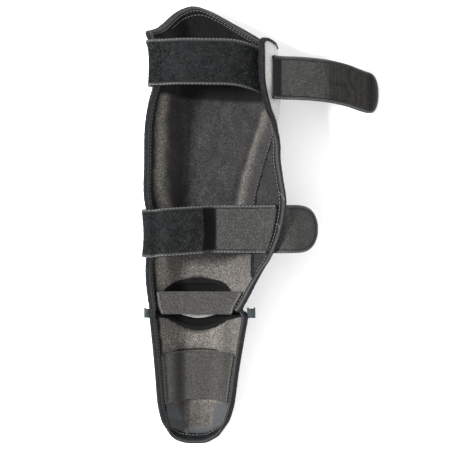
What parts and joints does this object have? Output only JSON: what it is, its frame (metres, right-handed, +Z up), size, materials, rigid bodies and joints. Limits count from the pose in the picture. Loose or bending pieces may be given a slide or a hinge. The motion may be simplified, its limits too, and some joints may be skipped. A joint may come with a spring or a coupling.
{
  "type": "shin and instep guard",
  "caption": "Padded shin and instep guard, open side up, with loop and hook straps, side flap, ankle and instep elastics.",
  "frame": {"origin": "under the middle of the whole guard, on the surface it lies on", "axes": "+Y towards the knee end, +Z up out of the open side, +X towards the opened strap"},
  "size_m": [0.2384, 0.4374, 0.0855],
  "materials": {
    "outer_leather": "satin light synthetic leather with fine grain",
    "lining_fabric": "matt charcoal brushed knit",
    "black_binding": "black woven edge tape, stitched",
    "strap_fabric": "black woven strap cloth",
    "loop_tape": "black loop pile",
    "hook_tape": "black hook tape in ribs",
    "elastic_webbing": "black ribbed elastic",
    "ankle_webbing": "black webbing"
  },
  "bodies": {
    "root": {"shin_cover": "outer_leather", "shin_lining": "lining_fabric", "shin_binding": "black_binding", "side_wing": "outer_leather", "wing_lining": "lining_fabric", "wing_binding": "black_binding", "upper_loop_strap": "strap_fabric", "upper_loop_patch": "loop_tape", "upper_loop_top_binding": "black_binding", "upper_loop_bottom_binding": "black_binding", "middle_loop_strap": "strap_fabric", "middle_loop_patch": "loop_tape", "middle_loop_top_binding": "black_binding", "middle_loop_bottom_binding": "black_binding", "upper_hook_strap": "strap_fabric", "upper_hook_patch": "hook_tape", "upper_hook_binding": "black_binding", "middle_inner_strap": "strap_fabric", "middle_inner_top_binding": "black_binding", "middle_inner_bottom_binding": "black_binding", "middle_outer_tab": "strap_fabric", "middle_tab_binding": "black_binding", "instep_cover": "outer_leather", "instep_lining": "lining_fabric", "instep_binding": "black_binding", "instep_elastic": "elastic_webbing", "ankle_elastic": "elastic_webbing", "ankle_joining_flap": "outer_leather", "ankle_tab_left": "ankle_webbing", "ankle_tab_right": "ankle_webbing"}
  },
  "joints": []
}
